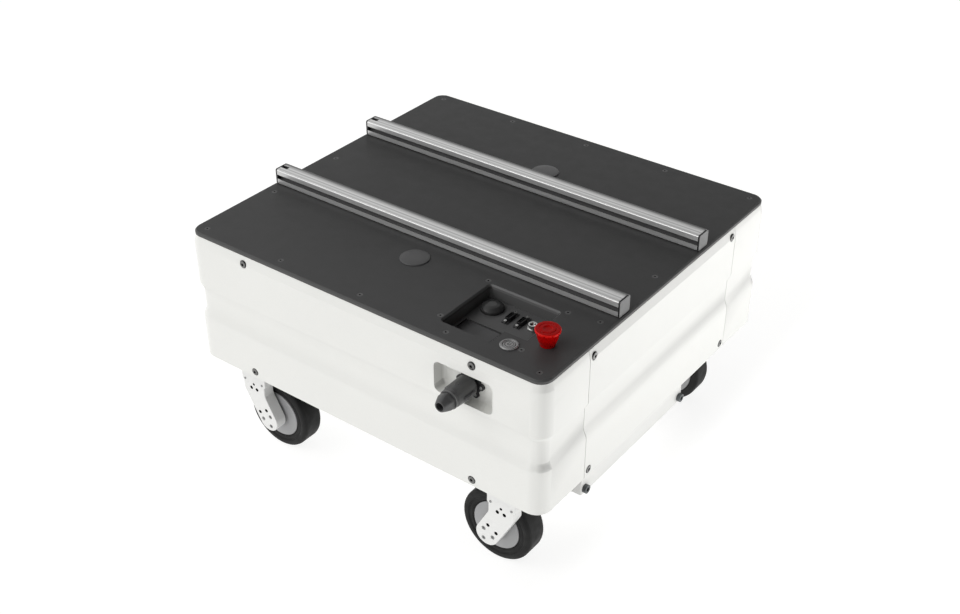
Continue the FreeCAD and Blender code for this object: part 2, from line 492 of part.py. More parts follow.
pc = fuse([rbox(-170, 20, -90, 90, 215.0, 275.0, 4.0)] + [box(-160 + 14 * i, -154 + 14 * i, -84, 84, 275.0, 285.0) for i in range(13)])
save(pc, "onboard_computer")
mc = []
for sy in (-1, 1):
    for k in (0, 1):
        x0 = 60.0 + 62.0 * k
        mc.append(rbox(x0, x0 + 50, sy * 55 - 42, sy * 55 + 42, 215.0, 300.0, 3.0))
save(group(mc), "motor_drives")

# ---------------------------------------------------------------- steered drive modules
# u: trailing direction, v: outward side that carries the drive arm
MODULES = {"front_left": (-1, -1), "front_right": (1, -1), "rear_left": (-1, 1), "rear_right": (1, 1)}
motors, drives = [], []
for name, (mx, my) in MODULES.items():
    px0, py0 = mx * PIVOT_X, my * PIVOT_Y
    u, v = -mx, my

    def P(a, b, z):
        return (px0 + u * a, py0 + v * b, z)

    def B(u0, u1, v0, v1, z0, z1):
        xs = sorted((px0 + u * u0, px0 + u * u1))
        ys = sorted((py0 + v * v0, py0 + v * v1))
        return box(xs[0], xs[1], ys[0], ys[1], z0, z1)

    # fixed steering housing: flange, bearing land, gear space, lid and the lobe of the steering gear
    mxx, myy = px0 - mx * 50.0, py0 - my * 74.0
    lobe_l = math.hypot(mxx - px0, myy - py0)
    lobe = fuse([Part.makeBox(lobe_l, 52.0, 34.0, V(0, -26.0, 0)), cyl(26.0, 34.0, (lobe_l, 0, 0))])
    lobe.Placement = FreeCAD.Placement(V(px0, py0, 268.0), FreeCAD.Rotation(V(0, 0, 1), math.degrees(math.atan2(myy - py0, mxx - px0))))
    hs = fuse([revolve([(0, -8.0), (46.2, -8.0), (46.2, 0), (58.5, 0), (58.5, 8.0), (50.0, 8.0), (50.0, 83.0), (0, 83.0)], (px0, py0, 223.0), (0, 0, 1), (1, 0, 0)), lobe])
    hs = hs.cut(revolve([(0, -20.0), (34.05, -20.0), (34.05, 40.0), (45.0, 40.0), (45.0, 75.0), (0, 75.0)], (px0, py0, 223.0), (0, 0, 1), (1, 0, 0)))
    hs = cuts(hs, [cyl(3.3, 10.0, (px0 + 53.0 * math.cos(math.radians(45 + 90 * i)), py0 + 53.0 * math.sin(math.radians(45 + 90 * i)), 222.0)) for i in range(4)] + [cyl(9.5, 20.0, (px0, py0, 290.0))])
    save(hs, "steering_housing_" + name)
    motors.append(fuse([cyl(25.0, 8.0, (mxx, myy, 302.0)), cyl(22.0, 70.0, (mxx, myy, 310.0)), cyl(19.0, 18.0, (mxx, myy, 380.0))]))
    drives.append(fuse([cyl(9.0, 20.0, (px0, py0, 288.0)), cyl(34.0, 10.0, (px0, py0, 306.0)), cyl(30.0, 74.0, (px0, py0, 316.0)), cyl(24.0, 14.0, (px0, py0, 390.0))]))
    # swivel head: block over the wheel, hollow neck and gear collar
    blk = B(-29.0, 29.0, -29.0, 25.4, 146.0, 186.0)
    blk = blk.makeFillet(8.0, [e for e in blk.Edges if e.BoundBox.ZLength > 20 and (e.CenterOfMass.y - py0) * v < 0])
    neck = cyl(34.0, 80.0, (px0, py0, 186.0))
    collar = cyl(43.0, 18.0, (px0, py0, 266.0))
    sw = fuse([blk, neck, collar, cyl(39.0, 8.0, (px0, py0, 186.0))]).cut(cyl(20.0, 130.0, (px0, py0, 160.0)))
    save(sw, "swivel_head_" + name)
    # drive arm: cranked gear case on the outer side of the wheel
    su, sz = ARM_SLOPE
    ax, az = TRAIL, WHEEL_R

    def W(a, z, b=ARM_IN):
        return V(*P(a, b, z))

    t1 = (ax - ARM_R * sz, az + ARM_R * su)
    t2 = (ax + ARM_R * sz, az - ARM_R * su)
    k1 = (-ARM_HALF, t1[1] + (t1[0] + ARM_HALF) / -su * sz)
    k2 = (ARM_HALF, t2[1] + (t2[0] - ARM_HALF) / -su * sz)
    tip = (ax - su * ARM_R, az - sz * ARM_R)
    e = [Part.makeLine(W(-ARM_HALF, 186.0), W(*k1)), Part.makeLine(W(*k1), W(*t1)), Part.Arc(W(*t1), W(*tip), W(*t2)).toShape(),
         Part.makeLine(W(*t2), W(*k2)), Part.makeLine(W(*k2), W(ARM_HALF, 186.0)), Part.makeLine(W(ARM_HALF, 186.0), W(-ARM_HALF, 186.0))]
    thick = V(0, v * (ARM_OUT - ARM_IN), 0)
    arm = Part.Face(Part.Wire(e)).extrude(thick)
    bends = [ed for ed in arm.Edges if ed.BoundBox.YLength > 20 and abs(ed.BoundBox.XLength) < 1e-6 and abs(ed.BoundBox.ZLength) < 1e-6 and 110 < ed.CenterOfMass.z < 140]
    arm = arm.makeFillet(14.0, bends)
    lug = B(-28.7, 28.7, ARM_IN, ARM_OUT, 141.0, 186.0)
    lug = lug.makeFillet(5.0, [ed for ed in lug.Edges if ed.BoundBox.YLength > 20 and ed.CenterOfMass.z < 142])
    arm = fuse([arm, lug])
    face_edges = [ed for ed in arm.Edges if abs(ed.BoundBox.YLength) < 1e-6 and abs(ed.CenterOfMass.y - (py0 + v * ARM_OUT)) < 1e-6 and ed.CenterOfMass.z < 185.5]
    try:
        arm = arm.makeFillet(1.2, face_edges)
    except Exception:
        pass
    holes_dark = [(-7.0, 131.0, 3.5), (7.0, 131.0, 3.5), (0.0, 140.6, 2.6), (9.3, 82.2, 3.5), (26.0, 91.8, 3.5)]
    holes_pale = [(ax - 12.3, az - 0.6, 3.8), (ax + 6.1, az + 10.7, 3.8), (ax + 6.1, az - 10.7, 3.8)]
    lug_scr = [(-21.0, 146.6), (21.0, 146.6)]
    dv = V(0, -v, 0)
    tl = [cyl(r, 8.0, P(a, ARM_OUT + 1.0, z), dv) for a, z, r in holes_dark]
    tl += [cyl(r + 0.3, 4.0, P(a, ARM_OUT + 1.0, z), dv) for a, z, r in holes_pale]
    tl += [cyl(1.3, 9.0, P(a, ARM_OUT + 1.0, z), dv) for a, z in lug_scr]
    tl += [cyl(8.05, 12.0, P(ax, ARM_IN - 1.0, az), V(0, v, 0))]
    arm = cuts(arm, tl)
    save(arm, "drive_arm_" + name)
    scr = []
    for a, z, r in holes_dark:
        s = cyl(r - 0.15, 2.4, P(a, ARM_OUT - 4.6, z), dv)
        scr.append(s.cut(hexrec((r - 0.15) * 0.6, 1.6, P(a, ARM_OUT - 4.6, z), (0, v, 0))))
    for a, z, r in holes_pale:
        s = cyl(r, 2.4, P(a, ARM_OUT - 0.6, z), dv)
        scr.append(s.cut(hexrec(r * 0.5, 1.0, P(a, ARM_OUT - 0.6, z), (0, v, 0))))
    for a, z in lug_scr:
        s = fuse([cyl(2.2, 0.9, P(a, ARM_OUT + 0.9, z), dv), cyl(1.2, 7.0, P(a, ARM_OUT + 0.5, z), dv)])
        scr.append(s)
    save(group(scr), "arm_screws_" + name)
    # wheel: hub with stub axle, tyre
    A0 = P(ax, 0, az)
    vd = (0, v, 0)
    hub = revolve([(0, 20.7), (8.0, 20.7), (8.0, 35.4), (0, 35.4)], A0, vd, (0, 0, 1))
    disc = revolve([(0, -14.0), (16.0, -14.0), (16.0, -17.5), (44.0, -17.5), (47.0, -21.4), (RIM_R, -21.4), (RIM_R, -17.6), (HUB_R, -17.6),
                    (HUB_R, 20.7), (0, 20.7)], A0, vd, (0, 0, 1))
    hub = fuse([hub, disc])
    save(hub, "wheel_hub_" + name)
    ty = revolve([(HUB_R, -17.5), (RIM_R + 0.1, -17.5), (RIM_R + 0.1, -21.0), (59.0, -22.0), (64.0, -22.0), (68.2, -20.2), (WHEEL_R, -15.8), (WHEEL_R, 15.8),
                  (68.2, 20.2), (64.0, 22.0), (57.0, 22.0), (54.6, 20.4), (50.5, 20.0), (HUB_R, 20.6)], A0, vd, (0, 0, 1))
    save(ty, "tyre_" + name)
save(group(motors), "steering_motors")
save(group(drives), "drive_motors")
print("files", len([f for f in os.listdir("parts") if f.endswith(".step")]))
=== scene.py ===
import json, math
import bpy, bmesh
from mathutils import Vector, Matrix


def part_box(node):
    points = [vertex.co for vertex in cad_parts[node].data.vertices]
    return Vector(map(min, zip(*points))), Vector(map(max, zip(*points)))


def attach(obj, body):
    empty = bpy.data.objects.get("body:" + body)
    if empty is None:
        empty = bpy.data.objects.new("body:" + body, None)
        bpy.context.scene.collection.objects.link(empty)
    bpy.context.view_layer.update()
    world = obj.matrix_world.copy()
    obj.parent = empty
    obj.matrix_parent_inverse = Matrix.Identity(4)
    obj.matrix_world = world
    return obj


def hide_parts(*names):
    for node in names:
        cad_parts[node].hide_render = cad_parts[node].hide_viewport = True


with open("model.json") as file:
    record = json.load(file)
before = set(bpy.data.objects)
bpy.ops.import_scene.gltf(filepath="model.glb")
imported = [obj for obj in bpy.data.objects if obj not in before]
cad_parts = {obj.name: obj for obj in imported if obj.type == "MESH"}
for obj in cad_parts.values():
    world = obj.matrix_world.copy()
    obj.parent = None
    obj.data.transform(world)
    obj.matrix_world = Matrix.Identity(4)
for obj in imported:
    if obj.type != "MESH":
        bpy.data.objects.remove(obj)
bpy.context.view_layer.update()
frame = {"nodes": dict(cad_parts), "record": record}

N = frame["nodes"]
d_lo, d_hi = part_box("deck_plate")
CX, CY = (d_lo[0] + d_hi[0]) / 2, (d_lo[1] + d_hi[1]) / 2      # body centre
DECK = d_hi[2]
scene = bpy.context.scene


# ------------------------------------------------------------------ materials
class G:
    """small helper that wires nodes"""

    def __init__(self, name):
        self.m = bpy.data.materials.new(name)
        self.m.use_nodes = True
        self.t = self.m.node_tree
        self.b = self.t.nodes["Principled BSDF"]
        self.co = self.t.nodes.new("ShaderNodeTexCoord").outputs["Object"]

    def n(self, kind, **kw):
        x = self.t.nodes.new("ShaderNode" + kind)
        for k, v in kw.items():
            setattr(x, k, v)
        return x

    def link(self, a, b):
        self.t.links.new(a, b)

    def mapped(self, scale, rot=(0, 0, 0)):
        mp = self.n("Mapping")
        mp.inputs["Scale"].default_value = scale
        mp.inputs["Rotation"].default_value = rot
        self.link(self.co, mp.inputs["Vector"])
        return mp.outputs["Vector"]

    def noise(self, scale, detail=3.0, rough=0.5, vec=None, dist=0.0):
        x = self.n("TexNoise")
        x.inputs["Scale"].default_value = scale
        x.inputs["Detail"].default_value = detail
        x.inputs["Roughness"].default_value = rough
        x.inputs["Distortion"].default_value = dist
        self.link(vec if vec is not None else self.co, x.inputs["Vector"])
        return x.outputs["Fac"]

    def ramp(self, fac, stops):
        r = self.n("ValToRGB")
        e = r.color_ramp.elements
        while len(e) < len(stops):
            e.new(0.5)
        for el, (p, c) in zip(e, stops):
            el.position = p
            el.color = (c[0], c[1], c[2], 1.0)
        self.link(fac, r.inputs["Fac"])
        return r.outputs["Color"]

    def span(self, fac, lo, hi, a=0.3, b=0.7):
        r = self.n("MapRange")
        r.inputs["From Min"].default_value = a
        r.inputs["From Max"].default_value = b
        r.inputs["To Min"].default_value = lo
        r.inputs["To Max"].default_value = hi
        self.link(fac, r.inputs["Value"])
        return r.outputs["Result"]

    def mix(self, fac, a, b, mode="MIX"):
        x = self.n("Mix", data_type="RGBA", blend_type=mode)
        self.link(fac, x.inputs["Factor"]) if not isinstance(fac, float) else setattr(x.inputs["Factor"], "default_value", fac)
        self.link(a, x.inputs[6])
        self.link(b, x.inputs[7])
        return x.outputs[2]

    def bump(self, height, dist, strength=1.0, prev=None):
        b = self.n("Bump")
        b.inputs["Strength"].default_value = strength
        b.inputs["Distance"].default_value = dist
        self.link(height, b.inputs["Height"])
        if prev is not None:
            self.link(prev, b.inputs["Normal"])
        return b.outputs["Normal"]

    def set(self, **kw):
        for k, v in kw.items():
            self.b.inputs[k.replace("_", " ")].default_value = v

    def edge(self, base, worn, lo=0.52, hi=0.6, amount=1.0):
        """lighter or darker wear where the surface turns over an edge"""
        g = self.n("NewGeometry")
        f = self.span(g.outputs["Pointiness"], 0.0, amount, lo, hi)
        brk = self.span(self.noise(180.0, 4.0), 0.2, 1.0, 0.35, 0.65)
        mul = self.n("Math", operation="MULTIPLY", use_clamp=True)
        self.link(f, mul.inputs[0])
        self.link(brk, mul.inputs[1])
        return self.mix(mul.outputs[0], base, worn)


def tone(c, k):
    return tuple(min(1.0, max(0.0, v * k)) for v in c)


def math_n(g, op, a, b=None, clamp=False):
    x = g.n("Math", operation=op, use_clamp=clamp)
    for i, v in enumerate((a, b)):
        if v is None:
            continue
        if isinstance(v, (int, float)):
            x.inputs[i].default_value = v
        else:
            g.link(v, x.inputs[i])
    return x.outputs[0]


def paint(name, col, rough=0.5, var=0.05, grain=900.0, depth=0.00004, r_var=0.06, coat=0.0, spec=0.5, metal=0.0, wear=None, patch=6.0, dust=None, edge_highlight_col=None, shade=False):
    g = G(name)
    big = g.noise(patch, 4.0, 0.55)
    c = g.ramp(big, [(0.3, tone(col, 1 - var)), (0.7, tone(col, 1 + var))])
    fine = g.noise(grain, 2.0, 0.6)
    c2 = g.ramp(fine, [(0.35, tone(col, 1 - var * 1.4)), (0.65, tone(col, 1 + var * 1.4))])
    c = g.mix(0.4, c, c2)
    if dust:
        d = g.span(g.noise(23.0, 6.0, 0.62), 0.0, dust[1], 0.5, 0.75)
        x = g.n("RGB")
        dcol = g.ramp(fine, [(0.0, tone(dust[0], 0.95)), (1.0, tone(dust[0], 1.05))])
        c = g.mix(d, c, dcol)
    if edge_highlight_col:
        # painted shade: the deck top darkens towards the back
        back_shade_xyz = g.n("SeparateXYZ")
        g.link(g.co, back_shade_xyz.inputs[0])
        fy = math_n(g, "ADD", math_n(g, "SUBTRACT", back_shade_xyz.outputs[1], CY), math_n(g, "MULTIPLY", math_n(g, "SUBTRACT", back_shade_xyz.outputs[0], CX), 0.12))
        fr_ = g.span(fy, 0.0, 1.0, -0.40, 0.35)
        fr_.node.clamp = True
        c = g.mix(1.0, c, g.ramp(fr_, [(0.0, (1.0, 1.0, 1.0)), (0.45, (0.80, 0.80, 0.80)), (1.0, (0.66, 0.66, 0.66))]), "MULTIPLY")
        # painted highlight: tilted faces such as the chamfers take a lighter colour
        sep = g.n("SeparateXYZ")
        g.link(g.n("NewGeometry").outputs["Normal"], sep.inputs[0])
        w = g.ramp(fine, [(0.0, tone(edge_highlight_col, 0.95)), (1.0, tone(edge_highlight_col, 1.05))])
        c = g.mix(math_n(g, "LESS_THAN", math_n(g, "ABSOLUTE", sep.outputs[2]), 0.85), c, w)
    if shade:                                                # painted shade: the right face is darker on its up-facing slopes and its upper band, the front face on its down-facing slopes, standing in for how the studio light falls
        sn = g.n("SeparateXYZ")
        g.link(g.n("NewGeometry").outputs["Normal"], sn.inputs[0])
        zz = g.n("SeparateXYZ")
        g.link(g.co, zz.inputs[0])
        def clamped(v, a, b, lo, hi):
            r = g.n("MapRange")
            for k, q in (("From Min", a), ("From Max", b), ("To Min", lo), ("To Max", hi)):
                r.inputs[k].default_value = q
            g.link(v, r.inputs["Value"])
            return r.outputs["Result"]
        right = clamped(sn.outputs[0], 0.45, 0.75, 0.0, 1.0)
        front = clamped(sn.outputs[1], -0.75, -0.45, 1.0, 0.0)
        # painted shade on the down-facing slopes of the front face
        down = clamped(sn.outputs[2], -0.24, -0.03, 0.93, 1.0)
        # painted shade on the up-facing slopes of the right face, eased off just under the deck
        up = math_n(g, "MINIMUM", 1.0, math_n(g, "ADD", clamped(sn.outputs[2], 0.02, 0.16, 1.0, 0.78), clamped(zz.outputs[2], DECK - 0.045, DECK - 0.025, 0.0, 0.13)))
        # painted shade: the upper part of the right face is darker
        high = clamped(zz.outputs[2], DECK - 0.185, DECK - 0.150, 0.97, 0.905)
        kr = math_n(g, "ADD", 1.0, math_n(g, "MULTIPLY", right, math_n(g, "SUBTRACT", math_n(g, "MULTIPLY", up, high), 1.0)))
        kf = math_n(g, "ADD", 1.0, math_n(g, "MULTIPLY", front, math_n(g, "SUBTRACT", down, 1.0)))
        kk = math_n(g, "MULTIPLY", kr, kf)
        cc = g.n("CombineXYZ")
        for i in range(3):
            g.link(kk, cc.inputs[i])
        c = g.mix(1.0, c, cc.outputs[0], "MULTIPLY")
    if wear:
        w = g.ramp(fine, [(0.0, tone(wear, 0.9)), (1.0, tone(wear, 1.1))])
        c = g.edge(c, w)
    g.link(c, g.b.inputs["Base Color"])
    g.link(g.span(g.noise(40.0, 5.0, 0.6), rough - r_var, rough + r_var, 0.3, 0.7), g.b.inputs["Roughness"])
    nb = g.bump(fine, depth, 0.5)
    nb = g.bump(g.noise(14.0, 2.0), depth * 4, 0.25, nb)
    g.link(nb, g.b.inputs["Normal"])
    g.set(Metallic=metal, Specular_IOR_Level=spec)
    if coat:
        g.set(Coat_Weight=coat, Coat_Roughness=0.12)
    return g.m


def metal(name, col, rough=0.3, streak=(1, 1, 1), s=500.0, depth=0.00002, r_var=0.08, var=0.06, metallic=1.0):
    g = G(name)
    v = g.mapped(streak)
    st = g.noise(s, 4.0, 0.6, v)
    c = g.ramp(st, [(0.3, tone(col, 1 - var)), (0.7, tone(col, 1 + var))])
    blot = g.ramp(g.noise(30.0, 5.0, 0.6), [(0.3, tone(col, 1 - var)), (0.7, tone(col, 1 + var * 0.5))])
    g.link(g.mix(0.5, c, blot), g.b.inputs["Base Color"])
    g.link(g.span(g.noise(s * 0.6, 3.0, 0.5, v), rough - r_var, rough + r_var, 0.3, 0.7), g.b.inputs["Roughness"])
    g.link(g.bump(st, depth, 0.6), g.b.inputs["Normal"])
    g.set(Metallic=metallic)
    return g.m


def rail_metal(name, side, slot, rough=0.34):
    """extruded aluminium: striped top with a painted highlight at the near edge and painted shade towards the far edge,
    duller sides, slots painted dark as shade and a fine joint line beside the strip
    """
    g = G(name)
    v = g.mapped((0.6, 60.0, 60.0))
    st = g.noise(12.0, 4.0, 0.6, v)
    cs = g.ramp(st, [(0.3, tone(side, 0.94)), (0.7, tone(side, 1.06))])
    cd = g.ramp(st, [(0.3, tone(slot, 0.85)), (0.7, tone(slot, 1.15))])
    sep = g.n("SeparateXYZ")
    g.link(g.co, sep.inputs[0])
    yb = math_n(g, "SUBTRACT", sep.outputs[1], CY)
    sgn = math_n(g, "SIGN", yb)
    off = math_n(g, "SUBTRACT", yb, math_n(g, "MULTIPLY", sgn, 0.125))      # across the rail, from its middle
    b = math_n(g, "ABSOLUTE", off)
    zc = math_n(g, "SUBTRACT", sep.outputs[2], DECK + 0.015)
    za = math_n(g, "ABSOLUTE", zc)
    m = math_n(g, "MAXIMUM", b, za)
    band = g.n("MapRange")
    for k, q in (("From Min", -0.015), ("From Max", 0.015), ("To Min", 0.0), ("To Max", 1.0)):
        band.inputs[k].default_value = q
    g.link(off, band.inputs["Value"])
    # painted highlight and shade across the top: bright at the near edge, darker towards the far edge, with a dark
    # joint line near the middle
    prof = [(-15.0, 0.80), (-12.8, 0.58), (-10.5, 0.60), (-8.5, 0.71), (-6.6, 0.80), (-5.0, 0.76), (-3.9, 0.56), (-3.2, 0.44), (-2.4, 0.58), (-0.8, 0.72), (0.6, 0.83),
            (2.2, 0.74), (4.0, 0.62), (6.5, 0.49), (8.5, 0.34), (10.5, 0.17), (13.0, 0.13)]
    c = g.ramp(band.outputs["Result"], [((y + 15.0) / 30.0, (q, q, q * 0.995)) for y, q in prof])
    c2 = g.ramp(st, [(0.3, (0.88, 0.88, 0.88)), (0.7, (1.0, 1.0, 1.0))])
    c = g.mix(1.0, c, c2, "MULTIPLY")
    is_side = math_n(g, "LESS_THAN", zc, 0.0120)
    # painted shade: the slot faces take the dark slot colour and no metal
    inner = math_n(g, "MAXIMUM", math_n(g, "LESS_THAN", m, 0.0142), math_n(g, "LESS_THAN", za, 0.00422))
    c = g.mix(is_side, c, cs)
    c = g.mix(inner, c, cd)
    g.link(c, g.b.inputs["Base Color"])
    g.link(g.span(g.noise(7.0, 3.0, 0.5, v), rough - 0.05, rough + 0.05, 0.3, 0.7), g.b.inputs["Roughness"])
    g.link(g.bump(st, 0.00002, 0.6), g.b.inputs["Normal"])
    met = math_n(g, "SUBTRACT", 1.0, math_n(g, "MULTIPLY", is_side, 0.4))
    g.link(math_n(g, "MULTIPLY", met, math_n(g, "SUBTRACT", 1.0, inner)), g.b.inputs["Metallic"])
    g.set(Specular_IOR_Level=0.3)
    return g.m


def rubber(name, col, rough=0.62, grain=700.0):
    g = G(name)
    c = g.ramp(g.noise(18.0, 5.0, 0.6), [(0.3, tone(col, 0.8)), (0.7, tone(col, 1.35))])
    fine = g.noise(grain, 3.0, 0.6)
    c = g.mix(0.35, c, g.ramp(fine, [(0.3, tone(col, 0.7)), (0.7, tone(col, 1.5))]))
    g.link(c, g.b.inputs["Base Color"])
    g.link(g.span(g.noise(60.0, 4.0), rough - 0.1, rough + 0.1), g.b.inputs["Roughness"])
    g.link(g.bump(fine, 0.00012, 0.5), g.b.inputs["Normal"])
    g.set(Specular_IOR_Level=0.22)
    return g.m


M = {}
# the deck paint has painted shade towards the back and a painted highlight on its chamfers
M["deck"] = paint("deck_powder_coat", (0.072, 0.072, 0.0722), 0.44, 0.05, 1100.0, 0.00005, 0.04, patch=3.0, spec=0.17, edge_highlight_col=(0.085, 0.085, 0.084))
M["white"] = paint("cover_white_paint", (0.83, 0.83, 0.80), 0.38, 0.012, 500.0, 0.00003, 0.05, coat=0.15, shade=True)
# painted light: the belly box takes a lighter copy of the cover white, standing in for light under the body
M["white_box_lit"] = paint("belly_white_paint_lit", (0.90, 0.90, 0.875), 0.45, 0.02, 420.0, 0.00004, 0.05)
M["arm_white"] = paint("arm_white_paint", (0.83, 0.83, 0.815), 0.42, 0.02, 600.0, 0.00004, 0.05)
# the dark second colour is painted shade for the slots
M["alu"] = rail_metal("rail_extruded_aluminium", (0.66, 0.66, 0.655), (0.092, 0.092, 0.092))
M["strip"] = rail_metal("rail_strip_aluminium", (0.66, 0.66, 0.655), (0.092, 0.092, 0.092))
M["arm_screw"] = metal("arm_screw_steel", (0.30, 0.30, 0.30), 0.42, (1, 1, 1), 400.0, 0.00002, metallic=0.8)
# painted highlight: a lighter grey for the back edge of the tray opening
M["deck_highlight"] = paint("deck_highlight_edge", (0.16, 0.16, 0.16), 0.5, 0.05, 1000.0, 0.00004, spec=0.2)
M["tray"] = paint("tray_powder_coat", (0.112, 0.112, 0.112), 0.5, 0.06, 1000.0, 0.00005, spec=0.2)
M["cap"] = paint("end_cap_plastic", (0.120, 0.120, 0.120), 0.5, 0.06, 800.0, 0.00005)
M["deck_cap"] = paint("deck_cap_plastic", (0.074, 0.074, 0.075), 0.4, 0.05, 800.0, 0.00004)
M["zinc"] = metal("zinc_screws", (0.30, 0.30, 0.295), 0.42, (1, 1, 1), 300.0, 0.00002)
M["deck_screw"] = metal("deck_screw_steel", (0.13, 0.13, 0.13), 0.45, (1, 1, 1), 300.0, 0.00002, metallic=0.8)
M["black_screw_and_socket_shade"] = paint("black_oxide_steel", (0.014, 0.014, 0.014), 0.35, 0.1, 900.0, 0.00003, metal=0.4)
M["cover_screw"] = metal("cover_screw_steel", (0.19, 0.19, 0.185), 0.40, (1, 1, 1), 400.0, 0.00002, metallic=0.9)
M["black"] = paint("black_moulded_plastic", (0.016, 0.016, 0.017), 0.42, 0.1, 900.0, 0.00005)
M["gloss_black"] = paint("antenna_satin_black", (0.050, 0.050, 0.050), 0.22, 0.06, 900.0, 0.00001, 0.03, spec=0.25)
M["display"] = paint("display_panel", (0.036, 0.036, 0.037), 0.35, 0.05, 900.0, 0.00002)
M["nickel"] = metal("nickel_plate", (0.62, 0.62, 0.61), 0.24, (1, 1, 1), 300.0, 0.00002)
M["button"] = metal("button_steel", (0.27, 0.27, 0.27), 0.38, (1, 1, 1), 500.0, 0.00002, metallic=0.7)
M["button_face"] = metal("button_face_steel", (0.18, 0.18, 0.18), 0.45, (1, 1, 1), 500.0, 0.00002, metallic=0.7)
# the pale colour serves the power symbol and the painted highlight on the bezel edge
M["mark"] = paint("power_mark_and_bezel_highlight", (0.45, 0.45, 0.45), 0.5, 0.05, 900.0, 0.00002)
# painted highlight: a lighter grey for the front rim of the barrel
M["plug_rim"] = paint("plug_rim_grey", (0.16, 0.16, 0.16), 0.3, 0.08, 900.0, 0.00003)
M["black_plug"] = paint("plug_dark_plastic", (0.066, 0.066, 0.067), 0.36, 0.08, 900.0, 0.00005)
M["red"] = paint("estop_red_plastic", (0.42, 0.0015, 0.001), 0.16, 0.05, 700.0, 0.00002, 0.04, spec=0.05)
M["red_body"] = paint("estop_red_body", (0.40, 0.001, 0.001), 0.16, 0.30, 500.0, 0.00002, 0.04, spec=0.12)
# painted highlight: a lighter red for the rim of the mushroom head
M["red_rim"] = paint("estop_red_rim", (0.70, 0.010, 0.008), 0.16, 0.10, 500.0, 0.00002, 0.04, spec=0.12)
M["frame"] = paint("frame_powder_coat", (0.055, 0.055, 0.057), 0.55, 0.08, 900.0, 0.00006)
M["case"] = metal("case_aluminium", (0.30, 0.30, 0.31), 0.4, (1, 30, 1), 30.0, 0.00002)
M["motor"] = paint("motor_black", (0.022, 0.022, 0.024), 0.5, 0.1, 800.0, 0.00006)
M["casting"] = metal("housing_casting", (0.36, 0.36, 0.37), 0.5, (1, 1, 1), 260.0, 0.0001, 0.08)
M["hub"] = paint("hub_grey", (0.34, 0.34, 0.345), 0.45, 0.06, 700.0, 0.00005)
M["tyre"] = rubber("tyre_rubber", (0.0125, 0.0125, 0.0125))
M["bolt"] = metal("belly_bolt_steel", (0.13, 0.14, 0.145), 0.42, (1, 1, 1), 400.0, 0.00002, metallic=0.8)

SLOT = {"deck_grey": "deck", "zinc_steel": "zinc", "black_oxide_steel": "black_screw_and_socket_shade", "grey_plastic": "cap", "mill_aluminium": "alu",
        "anodised_strip": "strip", "white_paint": "white", "black_plastic": "black", "display_grey": "display", "nickel_brass": "nickel",
        "button_steel": "button", "red_plastic": "red", "frame_steel": "frame", "case_aluminium": "case", "motor_black": "motor",
        "cast_white": "arm_white", "housing_aluminium": "casting", "hub_grey": "hub", "tread_rubber": "tyre"}
own = {"deck_screws": "deck_screw", "cover_screws": "cover_screw", "deck_caps": "deck_cap", "antenna_dome": "gloss_black", "belly_box": "white_box_lit",
       "belly_bolts": "bolt", "control_tray": "tray", "port_screws": "nickel"}
for s in frame["record"]["subparts"]:
    o = N[s["node"]]
    m = M[own.get(s["node"], SLOT[s["material_slot"]])]
    o.data.materials.clear()
    o.data.materials.append(m)


def finish_cad(o, width=0.0004, seg=2, angle=32.0):
    """welds the shells, rounds the sharp edges a little and smooths the curved faces"""
    o.data.polygons.foreach_set("use_smooth", [True] * len(o.data.polygons))
    w = o.modifiers.new("weld", "WELD")
    w.merge_threshold = 1e-5
    if width:
        b = o.modifiers.new("edge_round", "BEVEL")
        b.width = width
        b.segments = seg
        b.limit_method = "ANGLE"
        b.angle_limit = math.radians(angle)
        b.harden_normals = True
        b.use_clamp_overlap = True
    else:
        e = o.modifiers.new("sharp", "EDGE_SPLIT")
        e.split_angle = math.radians(angle)
    n = o.modifiers.new("flat_faces", "WEIGHTED_NORMAL")
    n.mode = "FACE_AREA"
    n.weight = 100
    n.keep_sharp = True


for k, o in N.items():
    finish_cad(o, 0.0)
# dark rims and sockets of the screw heads, painted black as the shade in these hollows
def on_faces(node, mat, test):
    o = N[node]
    o.data.materials.append(M[mat])
    k = len(o.data.materials) - 1
    for f in o.data.polygons:
        if test(o.matrix_world @ f.center):
            f.material_index = k


def cover_socket_shade(q):
    x, y, z = q.x - CX, q.y - CY, q.z - DECK + 0.448
    if abs(y) > 0.352:
        r = min(math.hypot(abs(x) - 0.2415, z - a) for a in (0.202, 0.4263))
        return r > 0.0064 or (r < 0.0029 and abs(y) < 0.3550)
    if abs(x) > 0.374:
        r = min(math.hypot(abs(y) - 0.220, z - a) for a in (0.202, 0.4263))
        return r > 0.0064 or (r < 0.0029 and abs(x) < 0.3770)
    return False


on_faces("cover_screws", "black_screw_and_socket_shade", cover_socket_shade)
# painted shade: the part of each end cap inside the gap at the rail end is black
on_faces("rail_end_caps", "black", lambda q: abs(q.x - CX) < 0.3669)
deck_xy = [(sx * 0.349, sy) for sx in (-1, 1) for sy in (-0.33, -0.165, 0.0, 0.165, 0.33)] + [(sx, sy * 0.33) for sx in (-0.1745, 0.0, 0.1745) for sy in (-1, 1)] + \
          [(0.1392, -0.1733), (0.1392, -0.2988), (0.2945, -0.2988), (0.2945, -0.1733)]
# painted shade: the sockets of the deck screws are black
on_faces("deck_screws", "black_screw_and_socket_shade", lambda q: min(math.hypot(q.x - CX - a, q.y - CY - b) for a, b in deck_xy) < 0.00172)
